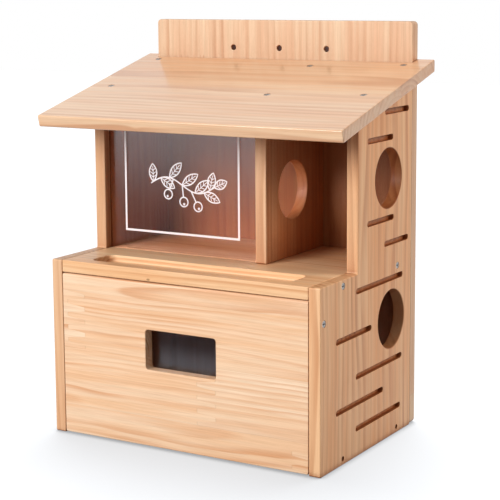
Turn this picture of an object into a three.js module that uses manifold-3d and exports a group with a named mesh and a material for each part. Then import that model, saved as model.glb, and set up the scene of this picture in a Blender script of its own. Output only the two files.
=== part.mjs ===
// A squirrel feeder and nest box of solid pine boards, in millimetres with +Z up.
// A full-depth nest chamber stands below, and its lid is a feeding shelf with a sunk tray for nuts.
// Above the shelf, set back, are a glazed bay and an open bay under one sloping roof board.
// The front panel of the nest chamber swings out at the bottom on two pivot screws.
// Widths are measured from the middle, depths from the front face and heights from the ground.

import * as THREE from 'three';
import { mergeVertices } from 'three/addons/utils/BufferGeometryUtils.js';
import Module from 'manifold-3d';

const wasm = await Module();
wasm.setup();

// Overall sizes

const overallWidth = 375;
const overallDepth = 255;
const ledgeHeight = 219;
const upperSetback = 93;
const boardThickness = 15;

// Roof board, which slopes down to the front and overhangs both sides

const roofSlopeDegrees = 14.9;
const roofFrontHeight = 395;
const roofFrontDepth = 7;
const roofSideOverhang = 23;
const roofNotchGap = 0.5;

// Backboard, which rises above the roof and hangs the box on a wall or a tree

const backboardRise = 46;
const backboardCornerRadius = 5;
const hangingHoleDiameter = 7;
const hangingHoleSpacing = 68.5;
const hangingHoleRiseShare = 0.22;

// Entrance holes in the right side, and the way through between the two bays

const entryDiameter = 73;
const upperEntryShares = [0.553, 0.563];
const lowerEntryShares = [0.767, 0.676];
const bayPassageShares = [0.459, 0.453];

// Climbing grooves in the right side, with round ends
// Each row holds one groove's front end, back end and height, as shares of the side's own
// depth and height there.

const grooveHeight = 7;
const grooveDepth = 6;
const lowerGrooveShares = [
  [0.37, 0.88, 0.155],
  [0.16, 0.675, 0.297],
  [0.37, 0.895, 0.442],
  [0.16, 0.54, 0.678],
  [0.37, 0.9, 0.907],
];
const upperGrooveShares = [
  [0.48, 0.938, 0.131],
  [0.165, 0.655, 0.298],
  [0.165, 0.635, 0.83],
  [0.48, 0.935, 1],
];

// Tray for nuts and seeds, routed into the shelf

const trayFrontRim = 16;
const trayReach = 42;
const trayEndMargin = 32.5;
const trayDepth = 8;
const trayCornerRadius = 10;
const trayRimEase = 1;

// Partition between the glazed bay on the left and the open bay on the right

const openBayWidth = 108;

// Clear pane of the glazed bay, slid down into grooves in the boards round it

const paneThickness = 3;
const paneInset = 11;
const paneTongue = 5;
const paneClearance = 0.3;

// Front panel of the nest chamber, with its window and its two pivots

const panelSideGap = 0.5;
const panelGroundGap = 1.5;
const panelBackGap = 0.8;
const panelTopRadius = 3.5;
const pivotBelowShelf = 27.3;
const pivotDepthShare = 0.6;
const swingClearance = 0.5;
const windowWidth = 99;
const windowHeight = 49;
const windowSillHeight = 96.2;
const windowCornerRadius = 4;
const windowPaneLap = 10;
const windowPaneThickness = 3;

// Countersunk wood screws through the boards, and thinner, deeper ones into the bottom board

const screwLength = 30;
const screwHeadRadius = 4;
const screwShankRadius = 2;
const screwSink = 0.3;
const headRimHeight = 0.5;
const slimHeadRadius = 2.8;
const slimShankRadius = 1.6;
const slimSink = 2;
const sideScrewDepthShares = [0.233, 0.838];
const roofScrewSideInset = 28;
const roofScrewPartitionInset = 17;
const roofScrewSideBackInset = 10;
const roofScrewPartitionBackInset = 22;
const backScrewHeightShares = [0.1, 0.5, 0.86];
const partitionScrewHeightShares = [0.2, 0.85];

// Round-head screws that hold the window pane

const windowScrewLength = 10;
const windowScrewHeadRadius = 2.8;
const windowScrewHeadHeight = 1.6;
const windowScrewShankRadius = 1.4;
const roundHeadShares = [[1, 0], [1, 0.4], [0.7, 0.85], [0, 1]];

// Edges and fits

const edgeEase = 1.2;
const outlineRoundingFactor = 1.7;
const seatGap = 0.3;
const cutOverrun = 5;

// Facets

const cornerSegments = 2;
const easeSegments = 2;
const entrySegments = 40;
const hangingHoleSegments = 14;
const grooveEndSegments = 4;
const screwSegments = 12;

// Sizes that follow

const halfWidth = overallWidth / 2;
const innerHalfWidth = halfWidth - boardThickness;
const sideDepth = overallDepth - boardThickness;
const upperDepth = sideDepth - upperSetback;
const shelfUnderside = ledgeHeight - boardThickness;
const outlineRounding = edgeEase * outlineRoundingFactor;
const roofSlope = THREE.MathUtils.degToRad(roofSlopeDegrees);
const roofHalfWidth = halfWidth + roofSideOverhang;
const bayHeight = undersideOfRoof(upperSetback) - ledgeHeight;
const backboardHeight = topOfRoof(overallDepth) + backboardRise;
const partitionRight = innerHalfWidth - openBayWidth;
const partitionLeft = partitionRight - boardThickness;
const partitionMiddle = (partitionLeft + partitionRight) / 2;
const paneFront = upperSetback + paneInset;
const paneBack = paneFront + paneThickness;
const pivotDepth = boardThickness * pivotDepthShare;
const pivotHeight = shelfUnderside - pivotBelowShelf;
const windowPaneBack = boardThickness + windowPaneThickness;

// Directions

const right = new THREE.Vector3(1, 0, 0);
const left = right.clone().negate();
const back = new THREE.Vector3(0, 1, 0);
const front = back.clone().negate();
const up = new THREE.Vector3(0, 0, 1);
const offRoof = new THREE.Vector3(0, -Math.sin(roofSlope), Math.cos(roofSlope));

// The ways that a flat shape can face, with the directions that it is drawn in

const toTheRight = { across: back, along: up, outward: right, axis: right };
const toTheFront = { across: right, along: up, outward: front, axis: back };
const upward = { across: right, along: back, outward: up, axis: up };

// Heights of the roof's two faces at a depth

function topOfRoof(depth) {
  return roofFrontHeight + (depth - roofFrontDepth) * Math.tan(roofSlope);
}

function undersideOfRoof(depth) {
  return topOfRoof(depth) - boardThickness / Math.cos(roofSlope);
}

// Solids for joining and cutting

function toSolid(geometry) {
  const bare = geometry.clone();
  bare.deleteAttribute('normal');
  bare.deleteAttribute('uv');
  const merged = mergeVertices(bare);
  const vertProperties = new Float32Array(merged.attributes.position.array);
  const triVerts = new Uint32Array(merged.index.array);
  return new wasm.Manifold(new wasm.Mesh({ numProp: 3, vertProperties, triVerts }));
}

function toGeometry(solid) {
  const mesh = solid.getMesh();
  const geometry = new THREE.BufferGeometry();
  geometry.setAttribute('position', new THREE.BufferAttribute(mesh.vertProperties, 3));
  geometry.setIndex(new THREE.BufferAttribute(mesh.triVerts, 1));
  geometry.computeVertexNormals();
  return geometry;
}

function joinAll(solids) {
  return solids.reduce((whole, solid) => whole.add(solid));
}

function block(lowCorner, highCorner) {
  const box = new THREE.Box3(new THREE.Vector3(...lowCorner), new THREE.Vector3(...highCorner));
  const size = box.getSize(new THREE.Vector3());
  const middle = box.getCenter(new THREE.Vector3());
  return toSolid(new THREE.BoxGeometry(...size).translate(...middle));
}

// An outline through the given corners, each rounded by an arc

function roundedOutline(corners, radius) {
  const shape = new THREE.Shape();
  corners.forEach((place, index) => {
    const corner = new THREE.Vector2(...place);
    const before = new THREE.Vector2(...corners.at(index - 1)).sub(corner).normalize();
    const after = new THREE.Vector2(...corners[(index + 1) % corners.length]).sub(corner).normalize();
    const halfAngle = Math.acos(before.dot(after)) / 2;
    const inward = before.clone().add(after).normalize();
    const toCentre = inward.multiplyScalar(radius / Math.sin(halfAngle));
    const tangent = radius / Math.tan(halfAngle);
    const start = before.clone().multiplyScalar(tangent).sub(toCentre);
    const end = after.clone().multiplyScalar(tangent).sub(toCentre);
    const centre = corner.clone().add(toCentre);
    const hollow = before.cross(after) > 0;
    shape.absarc(centre.x, centre.y, radius, start.angle(), end.angle(), hollow);
  });
  shape.closePath();
  return shape;
}

function rectangle(left, low, rightEnd, high, radius = outlineRounding) {
  return roundedOutline([[left, low], [rightEnd, low], [rightEnd, high], [left, high]], radius);
}

function roundHole(x, y, diameter, segments) {
  const radius = diameter / 2;
  const points = new THREE.EllipseCurve(x, y, radius, radius).getPoints(segments);
  return new THREE.Path(points.slice(0, segments));
}

// Turns a flat shape to its facing, with its lower face at the given place on that axis

function placed(geometry, facing, place) {
  const frame = new THREE.Matrix4().makeBasis(facing.across, facing.along, facing.outward);
  frame.setPosition(facing.axis.clone().multiplyScalar(place));
  return geometry.applyMatrix4(frame);
}

// A board cut to an outline, with all its edges eased

function board(shape, facing, place, thickness = boardThickness) {
  const geometry = new THREE.ExtrudeGeometry(shape, {
    depth: thickness - 2 * edgeEase,
    bevelThickness: edgeEase,
    bevelSize: edgeEase,
    bevelOffset: -edgeEase,
    bevelSegments: easeSegments,
    curveSegments: cornerSegments,
  });
  return toSolid(placed(geometry.translate(0, 0, edgeEase), facing, place));
}

// A plate or a cutter with plain edges

function plate(shape, facing, place, thickness, curveSegments = cornerSegments) {
  const geometry = new THREE.ExtrudeGeometry(shape, { depth: thickness, bevelEnabled: false, curveSegments });
  return toSolid(placed(geometry, facing, place));
}

// Screws, whose heads lie at the origin and face along +Y until they are placed
// A spread widens the same profile into the hole that the screw needs.

function countersunkProfile(headRadius, shankRadius, spread, rise) {
  const coneEnd = headRimHeight + headRadius - shankRadius;
  const points = [
    [0, -screwLength - spread],
    [shankRadius + spread, -screwLength + 2 * shankRadius],
    [shankRadius + spread, -coneEnd],
    [headRadius + spread, -headRimHeight],
    [headRadius + spread, rise],
    [0, rise],
  ];
  return points.map((place) => new THREE.Vector2(...place));
}

function roundHeadProfile(spread) {
  const shank = windowScrewShankRadius + spread;
  const tip = [[0, -windowScrewLength - spread], [shank, -windowScrewLength + shank], [shank, 0]];
  const head = roundHeadShares.map(([across, along]) => {
    return [windowScrewHeadRadius * across, windowScrewHeadHeight * along];
  });
  return [...tip, ...head].map((place) => new THREE.Vector2(...place));
}

function revolvedAt(profile, place, outward) {
  const geometry = new THREE.LatheGeometry(profile, screwSegments);
  geometry.applyQuaternion(new THREE.Quaternion().setFromUnitVectors(back, outward));
  return toSolid(geometry.translate(...place));
}

function countersunkScrew(name, place, outward, slim = false) {
  const headRadius = slim ? slimHeadRadius : screwHeadRadius;
  const shankRadius = slim ? slimShankRadius : screwShankRadius;
  const head = place.clone().addScaledVector(outward, slim ? -slimSink : -screwSink);
  const profile = countersunkProfile(headRadius, shankRadius, 0, 0);
  const holeProfile = countersunkProfile(headRadius, shankRadius, seatGap, cutOverrun);
  return {
    name,
    solid: revolvedAt(profile, head, outward),
    hole: revolvedAt(holeProfile, head, outward),
  };
}

// Screws through the sides into the shelf and the bottom board

function sideScrews(sideName, outward) {
  const faceX = halfWidth * outward.x;
  const bottomMiddle = boardThickness / 2;
  const shelfMiddle = ledgeHeight - boardThickness / 2;
  const screws = [];
  ['front', 'back'].forEach((end, index) => {
    const depth = sideDepth * sideScrewDepthShares[index];
    const shelfPlace = new THREE.Vector3(faceX, depth, shelfMiddle);
    const bottomPlace = new THREE.Vector3(faceX, depth, bottomMiddle);
    screws.push(countersunkScrew(`${sideName}_shelf_screw_${end}`, shelfPlace, outward));
    screws.push(countersunkScrew(`${sideName}_bottom_screw_${end}`, bottomPlace, outward, true));
  });
  return screws;
}

// Screws down through the roof into the two sides and the partition

function roofScrews() {
  const sideX = halfWidth - boardThickness / 2;
  const rows = [
    ['left', -sideX, roofScrewSideInset, roofScrewSideBackInset],
    ['partition', partitionMiddle, roofScrewPartitionInset, roofScrewPartitionBackInset],
    ['right', sideX, roofScrewSideInset, roofScrewSideBackInset],
  ];
  return rows.flatMap(([name, x, frontInset, backInset]) => {
    const depths = { front: upperSetback + frontInset, back: sideDepth - backInset };
    return Object.entries(depths).map(([end, depth]) => {
      const place = new THREE.Vector3(x, depth, topOfRoof(depth));
      return countersunkScrew(`roof_screw_${name}_${end}`, place, offRoof);
    });
  });
}

// Screws from behind through the backboard into the two sides and the partition

function backScrews() {
  const sideX = halfWidth - boardThickness / 2;
  const sideTop = undersideOfRoof(sideDepth);
  const rows = [
    ['left', -sideX, backScrewHeightShares.map((share) => share * sideTop)],
    ['partition', partitionMiddle, partitionScrewHeightShares.map((share) => ledgeHeight + share * bayHeight)],
    ['right', sideX, backScrewHeightShares.map((share) => share * sideTop)],
  ];
  return rows.flatMap(([name, x, heights]) => heights.map((height, index) => {
    const place = new THREE.Vector3(x, overallDepth, height);
    return countersunkScrew(`back_screw_${name}_${index + 1}`, place, back);
  }));
}

// The two screws that the front panel swings on

function pivotScrews() {
  return [['left', left], ['right', right]].map(([name, outward]) => {
    const place = new THREE.Vector3(halfWidth * outward.x, pivotDepth, pivotHeight);
    return countersunkScrew(`pivot_screw_${name}`, place, outward);
  });
}

// Four screws near the corners of the window pane, driven from inside

function windowScrews() {
  const x = (windowWidth + windowPaneLap) / 2;
  const middle = windowSillHeight + windowHeight / 2;
  const rise = (windowHeight + windowPaneLap) / 2;
  const corners = [[-x, -rise], [x, -rise], [x, rise], [-x, rise]];
  return corners.map(([across, along], index) => {
    const place = new THREE.Vector3(across, windowPaneBack + seatGap, middle + along);
    return {
      name: `window_screw_${index + 1}`,
      solid: revolvedAt(roundHeadProfile(0), place, back),
      hole: revolvedAt(roundHeadProfile(seatGap), place, back),
    };
  });
}

// Side panels: full depth below, set back above the ledge, and sloped under the roof

function sideOutline() {
  return roundedOutline([
    [0, 0],
    [sideDepth, 0],
    [sideDepth, undersideOfRoof(sideDepth) - seatGap],
    [upperSetback, undersideOfRoof(upperSetback) - seatGap],
    [upperSetback, ledgeHeight],
    [0, ledgeHeight],
  ], outlineRounding);
}

function upperPlace([depthShare, heightShare]) {
  return [upperSetback + upperDepth * depthShare, ledgeHeight + bayHeight * heightShare];
}

function lowerPlace([depthShare, heightShare]) {
  return [sideDepth * depthShare, ledgeHeight * heightShare];
}

function leftSide() {
  return board(sideOutline(), toTheRight, -halfWidth);
}

function rightSide() {
  const outline = sideOutline();
  const entries = [upperPlace(upperEntryShares), lowerPlace(lowerEntryShares)];
  entries.forEach(([depth, height]) => {
    outline.holes.push(roundHole(depth, height, entryDiameter, entrySegments));
  });
  return board(outline, toTheRight, innerHalfWidth).subtract(joinAll(grooveCutters()));
}

function grooveCutters() {
  const grooveEnds = (shares, toPlace) => shares.map(([startShare, endShare, heightShare]) => {
    const [start, height] = toPlace([startShare, heightShare]);
    const [end] = toPlace([endShare, heightShare]);
    return { start, end, height };
  });
  const grooves = [
    ...grooveEnds(lowerGrooveShares, lowerPlace),
    ...grooveEnds(upperGrooveShares, upperPlace),
  ];
  return grooves.map(grooveCutter);
}

function grooveCutter({ start, end, height }) {
  const radius = grooveHeight / 2;
  const quarter = Math.PI / 2;
  const shape = new THREE.Shape();
  shape.absarc(end - radius, height, radius, -quarter, quarter);
  shape.absarc(start + radius, height, radius, quarter, 3 * quarter);
  shape.closePath();
  return plate(shape, toTheRight, halfWidth - grooveDepth, grooveDepth + cutOverrun, grooveEndSegments);
}

// Backboard: one full-width board with three hanging holes above the roof

function backboard() {
  const outline = rectangle(-halfWidth, 0, halfWidth, backboardHeight, backboardCornerRadius);
  const height = topOfRoof(overallDepth) + backboardRise * hangingHoleRiseShare;
  [-hangingHoleSpacing, 0, hangingHoleSpacing].forEach((x) => {
    outline.holes.push(roundHole(x, height, hangingHoleDiameter, hangingHoleSegments));
  });
  return board(outline, toTheFront, overallDepth);
}

// Roof board: its front end is square to the slope, its back end is plumb, and it is notched
// round the backboard, so that an ear passes it on each side

function roofBoard() {
  const frontTop = new THREE.Vector3(0, roofFrontDepth, roofFrontHeight);
  const frontLow = frontTop.clone().addScaledVector(offRoof, -boardThickness);
  const outline = roundedOutline([
    [frontLow.y, frontLow.z],
    [overallDepth, undersideOfRoof(overallDepth)],
    [overallDepth, topOfRoof(overallDepth)],
    [frontTop.y, frontTop.z],
  ], outlineRounding);
  const notchHalfWidth = halfWidth + roofNotchGap;
  const notch = block(
    [-notchHalfWidth, sideDepth - roofNotchGap, undersideOfRoof(sideDepth) - cutOverrun],
    [notchHalfWidth, overallDepth + cutOverrun, topOfRoof(overallDepth) + cutOverrun],
  );
  return board(outline, toTheRight, -roofHalfWidth, 2 * roofHalfWidth).subtract(notch);
}

// Shelf: the lid of the nest chamber, with the tray along its front

function shelf() {
  const outline = rectangle(-innerHalfWidth, 0, innerHalfWidth, sideDepth);
  return board(outline, upward, shelfUnderside).subtract(trayCutter());
}

function trayCutter() {
  const halfLength = innerHalfWidth - trayEndMargin;
  const outline = rectangle(-halfLength, trayFrontRim, halfLength, trayFrontRim + trayReach, trayCornerRadius);
  const pocket = plate(outline, upward, ledgeHeight - trayDepth, trayDepth + cutOverrun, grooveEndSegments);
  const flare = new THREE.ExtrudeGeometry(outline, {
    depth: cutOverrun,
    bevelThickness: trayRimEase,
    bevelSize: trayRimEase,
    bevelSegments: 1,
    curveSegments: grooveEndSegments,
  });
  return pocket.add(toSolid(placed(flare, upward, ledgeHeight)));
}

function partition() {
  const outline = roundedOutline([
    [upperSetback, ledgeHeight],
    [sideDepth, ledgeHeight],
    [sideDepth, undersideOfRoof(sideDepth) - seatGap],
    [upperSetback, undersideOfRoof(upperSetback) - seatGap],
  ], outlineRounding);
  outline.holes.push(roundHole(...upperPlace(bayPassageShares), entryDiameter, entrySegments));
  return board(outline, toTheRight, partitionLeft);
}

function bottomBoard() {
  const outline = rectangle(-innerHalfWidth, boardThickness + panelBackGap, innerHalfWidth, sideDepth);
  return board(outline, upward, 0);
}

// The glazed bay's pane, and the grooves that it slides down in

function bayPane() {
  const low = ledgeHeight - paneTongue;
  const high = undersideOfRoof(paneFront) - paneClearance;
  const outline = new THREE.Shape([
    new THREE.Vector2(-innerHalfWidth - paneTongue, low),
    new THREE.Vector2(partitionLeft + paneTongue, low),
    new THREE.Vector2(partitionLeft + paneTongue, high),
    new THREE.Vector2(-innerHalfWidth - paneTongue, high),
  ]);
  return plate(outline, toTheFront, paneBack, paneThickness);
}

function paneGroove() {
  const reach = paneTongue + paneClearance;
  return block(
    [-innerHalfWidth - reach, paneFront - paneClearance, ledgeHeight - reach],
    [partitionLeft + reach, paneBack + paneClearance, topOfRoof(overallDepth)],
  );
}

// Front panel: its top swings in an arc under the shelf, so its height follows from the pivot

function frontPanelHeight() {
  const arcRadius = pivotBelowShelf - swingClearance - panelTopRadius;
  const roundingOffset = pivotDepth - panelTopRadius;
  return pivotHeight + Math.sqrt(arcRadius ** 2 - roundingOffset ** 2) + panelTopRadius;
}

function frontPanel() {
  const half = innerHalfWidth - panelSideGap;
  const top = frontPanelHeight();
  const outline = rectangle(-half, panelGroundGap, half, top);
  const windowTop = windowSillHeight + windowHeight;
  const window = rectangle(
    -windowWidth / 2, windowSillHeight, windowWidth / 2, windowTop, windowCornerRadius,
  );
  outline.holes.push(new THREE.Path(window.getPoints(cornerSegments).slice(1)));
  const cheeks = roundedOutline([
    [0, panelGroundGap - cutOverrun],
    [boardThickness, panelGroundGap - cutOverrun],
    [boardThickness, top],
    [0, top],
  ], panelTopRadius);
  const roundedTop = plate(cheeks, toTheRight, -halfWidth, overallWidth, grooveEndSegments);
  return board(outline, toTheFront, boardThickness).intersect(roundedTop);
}

function windowPane() {
  const half = windowWidth / 2 + windowPaneLap;
  const low = windowSillHeight - windowPaneLap;
  const high = windowSillHeight + windowHeight + windowPaneLap;
  const outline = rectangle(-half, low, half, high, windowCornerRadius);
  return plate(outline, toTheFront, windowPaneBack, windowPaneThickness);
}

// Finishes

function pine(colour) {
  return new THREE.MeshStandardMaterial({ color: colour, roughness: 0.62, metalness: 0 });
}

function acrylic(colour) {
  const clear = { color: colour, roughness: 0.08, metalness: 0, transparent: true, opacity: 0.35 };
  return new THREE.MeshStandardMaterial(clear);
}

function steel() {
  return new THREE.MeshStandardMaterial({ color: 0xb9b7b2, roughness: 0.35, metalness: 1 });
}

// Assembly

function addPiece(group, name, solid, material) {
  const geometry = toGeometry(solid).translate(...group.position.clone().negate());
  const mesh = new THREE.Mesh(geometry, material);
  mesh.name = name;
  group.add(mesh);
}

const feeder = new THREE.Group();
const fixedPieces = new THREE.Group();
const swingingPanel = new THREE.Group();
swingingPanel.position.set(0, pivotDepth, pivotHeight);
feeder.add(fixedPieces, swingingPanel);
feeder.position.y = -overallDepth / 2;

const fixedScrews = [
  ...sideScrews('left', left),
  ...sideScrews('right', right),
  ...roofScrews(),
  ...backScrews(),
];
const panelScrews = [...pivotScrews(), ...windowScrews()];
const screwHoles = joinAll([...fixedScrews, ...panelScrews].map((screw) => screw.hole));
const grooves = paneGroove();

addPiece(fixedPieces, 'left_side_panel', leftSide().subtract(grooves).subtract(screwHoles), pine(0xd8a577));
addPiece(fixedPieces, 'right_side_panel', rightSide().subtract(screwHoles), pine(0xd9a878));
addPiece(fixedPieces, 'backboard', backboard().subtract(screwHoles), pine(0xf0c08c));
addPiece(fixedPieces, 'roof_board', roofBoard().subtract(screwHoles), pine(0xf3c590));
addPiece(fixedPieces, 'feeding_shelf', shelf().subtract(grooves).subtract(screwHoles), pine(0xf1c894));
addPiece(fixedPieces, 'partition', partition().subtract(grooves).subtract(screwHoles), pine(0xdfb084));
addPiece(fixedPieces, 'bottom_board', bottomBoard().subtract(screwHoles), pine(0xe2b587));
addPiece(fixedPieces, 'bay_pane', bayPane(), acrylic(0xcfc8d0));
addPiece(swingingPanel, 'front_panel', frontPanel().subtract(screwHoles), pine(0xf3d3a3));
addPiece(swingingPanel, 'window_pane', windowPane().subtract(screwHoles), acrylic(0x4a444c));
fixedScrews.forEach((screw) => addPiece(fixedPieces, screw.name, screw.solid, steel()));
panelScrews.forEach((screw) => addPiece(swingingPanel, screw.name, screw.solid, steel()));

export default feeder;
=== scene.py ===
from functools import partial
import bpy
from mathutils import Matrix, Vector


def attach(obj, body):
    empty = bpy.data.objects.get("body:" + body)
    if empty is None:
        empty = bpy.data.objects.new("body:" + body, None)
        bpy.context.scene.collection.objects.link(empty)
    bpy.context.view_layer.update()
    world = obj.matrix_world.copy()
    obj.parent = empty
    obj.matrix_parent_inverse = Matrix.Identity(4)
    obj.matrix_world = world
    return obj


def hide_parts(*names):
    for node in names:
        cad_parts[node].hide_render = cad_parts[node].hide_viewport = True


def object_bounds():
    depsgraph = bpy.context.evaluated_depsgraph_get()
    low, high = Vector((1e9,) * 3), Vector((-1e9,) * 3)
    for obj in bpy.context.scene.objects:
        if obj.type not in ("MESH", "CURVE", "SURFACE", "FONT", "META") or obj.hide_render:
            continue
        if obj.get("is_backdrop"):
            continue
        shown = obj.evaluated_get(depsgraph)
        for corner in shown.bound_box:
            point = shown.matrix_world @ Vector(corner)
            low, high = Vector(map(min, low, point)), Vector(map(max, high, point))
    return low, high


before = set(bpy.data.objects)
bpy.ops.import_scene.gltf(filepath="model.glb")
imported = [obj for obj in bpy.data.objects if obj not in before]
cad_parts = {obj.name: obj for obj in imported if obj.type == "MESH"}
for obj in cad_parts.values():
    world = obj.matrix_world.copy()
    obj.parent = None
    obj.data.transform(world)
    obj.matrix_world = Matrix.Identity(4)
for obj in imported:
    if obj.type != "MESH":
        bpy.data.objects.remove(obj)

# A squirrel feeder and nest box of solid pine boards, screwed together.
# Each section makes one piece or a group of like pieces. Sizes are in millimetres: widths from
# the middle, depths back from the front face, heights up from the ground.

from inspect import signature
from math import atan2, cos, pi, radians, sin, sqrt, tan

import bmesh
import bpy
from mathutils import Matrix, Vector

cad_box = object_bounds()


# View
# The photograph was taken from the front right, a little above the shelf, with a long lens.
# The frame is shifted so that the box sits in it with upright edges nearly upright.

MM = 0.001
overall_depth = 255.0
camera_place = (945.1, -1426.2, 555.8)
view_turn, view_tilt, view_roll = radians(30.72), radians(8.33), radians(-0.38)
lens_length, frame_shift = 106.9, -0.1015


def place_of(width, depth, height):
    """The place in the scene, in metres, of a point given in the box's own millimetres."""
    return Vector((width, depth - overall_depth / 2, height)) * MM


def in_scene(name, data):
    """An object with this data, linked into the scene."""
    made = bpy.data.objects.new(name, data)
    bpy.context.scene.collection.objects.link(made)
    return made


view_camera = in_scene("view_camera", bpy.data.cameras.new("view_camera"))
view_camera.location = place_of(*camera_place)
view_camera.rotation_euler = (
    Matrix.Rotation(view_turn, 3, "Z")
    @ Matrix.Rotation(pi / 2 - view_tilt, 3, "X")
    @ Matrix.Rotation(view_roll, 3, "Z")
).to_euler()
view_camera.data.lens = lens_length
view_camera.data.shift_y = frame_shift
bpy.context.scene.camera = view_camera


# Bottom board
# The floor of the nest chamber: one edge-glued pine board, with its grain across the width.
# It is held by two screws through each side, and the front panel rests against its front edge.

overall_width, board_thickness = 375.0, 15.0
half_width = overall_width / 2
inner_half_width = half_width - board_thickness
side_depth = overall_depth - board_thickness
panel_back_gap = 0.8
edge_ease, rounding_factor = 1.2, 1.7
corner_rounding = edge_ease * rounding_factor


def rounded(corners, radius, steps=3):
    """An outline through the corners, each rounded by an arc."""
    outline = []
    for before, corner, after in zip(corners[-1:] + corners[:-1], corners, corners[1:] + corners[:1]):
        corner = Vector(corner)
        back = (Vector(before) - corner).normalized()
        ahead = (Vector(after) - corner).normalized()
        half_angle = back.angle(ahead) / 2
        tangent = radius / tan(half_angle)
        centre = corner + (back + ahead).normalized() * (radius / sin(half_angle))
        start, end = corner + back * tangent - centre, corner + ahead * tangent - centre
        turn = start.angle_signed(end)
        for step in range(steps + 1):
            angle = atan2(start.y, start.x) - turn * step / steps
            outline.append(centre + Vector((cos(angle), sin(angle))) * radius)
    return outline


def square(left, low, right, high):
    """A rectangle with square corners."""
    return [Vector(corner) for corner in ((left, low), (right, low), (right, high), (left, high))]


def rectangle(left, low, right, high, radius=corner_rounding, steps=3):
    """A rectangle with rounded corners."""
    return rounded(square(left, low, right, high), radius, steps)


def inset(outline, amount, hole):
    """The outline moved into the material by an amount, which is outwards for a hole."""
    moved = []
    sign = -1 if hole else 1
    for before, point, after in zip(outline[-1:] + outline[:-1], outline, outline[1:] + outline[:1]):
        first = (point - before).normalized()
        second = (after - point).normalized()
        inward = Vector((-first.y - second.y, first.x + second.x))
        moved.append(point + inward * (sign * amount / (1 + first.dot(second))))
    return moved


def solid_from_rings(outline, holes, rings):
    """A closed mesh with one ring of the outline for each (inset, height)."""
    mesh = bmesh.new()
    caps = ([], [])
    for number, loop in enumerate([outline] + holes):
        rows = []
        for amount, height in rings:
            points = inset(loop, amount, number > 0)
            rows.append([mesh.verts.new((point.x, point.y, height)) for point in points])
        for lower, upper in zip(rows[:-1], rows[1:]):
            for index in range(len(loop)):
                other = (index + 1) % len(loop)
                mesh.faces.new((lower[index], lower[other], upper[other], upper[index]))
        for cap, row in zip(caps, (rows[0], rows[-1])):
            cap.extend(mesh.edges.get((row[index - 1], row[index])) for index in range(len(row)))
    for cap in caps:
        bmesh.ops.triangle_fill(mesh, edges=cap, use_beauty=True, use_dissolve=False)
    bmesh.ops.recalc_face_normals(mesh, faces=mesh.faces)
    return mesh


def facing_up(point, place):
    """Lays a drawing flat, with its low face at a height."""
    return point.x, point.y, place + point.z


def new_piece(name, mesh, facing=None, place=0.0):
    """Puts a mesh drawn in millimetres into the scene as an object at the origin."""
    for vertex in mesh.verts:
        point = facing(vertex.co, place) if facing else vertex.co
        vertex.co = place_of(*point)
    data = bpy.data.meshes.new(name)
    mesh.to_mesh(data)
    mesh.free()
    return in_scene(name, data)


def quarter_round(radius, steps):
    """The rings of a rounded edge, from the face of a board to its side."""
    turns = [pi / 2 * step / steps for step in range(steps + 1)]
    return [(radius * (1 - sin(turn)), radius * (1 - cos(turn))) for turn in turns]


def eased_rings(thickness, ease, steps):
    low = quarter_round(ease, steps)
    return low + [(amount, thickness - height) for amount, height in reversed(low)]


def slab(name, outline, rings, facing, place, holes=()):
    """A solid drawn flat, then turned to face up, right or front."""
    return new_piece(name, solid_from_rings(outline, list(holes), rings), facing, place)


def board(name, outline, facing, place, holes=(), thickness=board_thickness, ease=edge_ease, steps=3):
    """A board or a pane cut to an outline, with all its edges eased."""
    return slab(name, outline, eased_rings(thickness, ease, steps), facing, place, holes)


def paint(red, green, blue):
    """A colour given in the 0 to 255 of a screen, as the shader wants it."""
    shares = [value / 255 for value in (red, green, blue)]
    linear = [share / 12.92 if share < 0.04045 else ((share + 0.055) / 1.055) ** 2.4 for share in shares]
    return (*linear, 1)


def new_material(name):
    """A material, with its node tree and its shader."""
    material = bpy.data.materials.new(name)
    material.use_nodes = True
    return material, material.node_tree, material.node_tree.nodes["Principled BSDF"]


def wire(node, inputs):
    """Links each input of a node to a socket, or sets it to a value."""
    for key, value in inputs.items():
        if isinstance(value, bpy.types.NodeSocket):
            node.id_data.links.new(value, node.inputs[key])
        else:
            node.inputs[key].default_value = value


def put(kind, inputs=None, tree=None, **settings):
    """Adds a node, in the tree that its inputs come from unless one is named. Gives its outputs."""
    inputs = inputs or {}
    sockets = [value for value in inputs.values() if isinstance(value, bpy.types.NodeSocket)]
    node = (tree or sockets[0].id_data).nodes.new("ShaderNode" + kind)
    for key, value in settings.items():
        setattr(node, key, value)
    wire(node, inputs)
    return node.outputs


def figure(operation, *values, clamp=False):
    return put("Math", dict(enumerate(values)), operation=operation, use_clamp=clamp)[0]


# Sums by name. The last one gives its first value times the second, plus the third.
plus, minus, times, over, larger, floor, rest, size_of, times_plus = (
    partial(figure, operation) for operation in (
        "ADD", "SUBTRACT", "MULTIPLY", "DIVIDE", "MAXIMUM", "FLOOR", "FRACT", "ABSOLUTE", "MULTIPLY_ADD",
    )
)


def vectors(operation, *values):
    """A vector worked out from others, or a number for a length, a distance or a dot product."""
    outputs = put("VectorMath", dict(enumerate(values)), operation=operation)
    return outputs["Value" if operation in ("LENGTH", "DISTANCE", "DOT_PRODUCT") else "Vector"]


def scaled(vector, *factors):
    return vectors("MULTIPLY", vector, factors)


def between(value, low, high, low_result=0.0, high_result=1.0):
    """Eases from one result to the other as the value goes from low to high."""
    inputs = dict(enumerate((value, low, high, low_result, high_result)))
    return put("MapRange", inputs, interpolation_type="SMOOTHSTEP")[0]


def blend(share, first, second, blend_type="MIX"):
    """Mixes two colours by a share. The numbers are those of the node's colour sockets."""
    return put("Mix", {0: share, 6: first, 7: second}, data_type="RGBA", blend_type=blend_type)[2]


def noise(vector, detail=2.0, roughness=0.5):
    inputs = {"Vector": vector, "Scale": 1.0, "Detail": detail, "Roughness": roughness}
    return put("TexNoise", inputs)[0]


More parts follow.
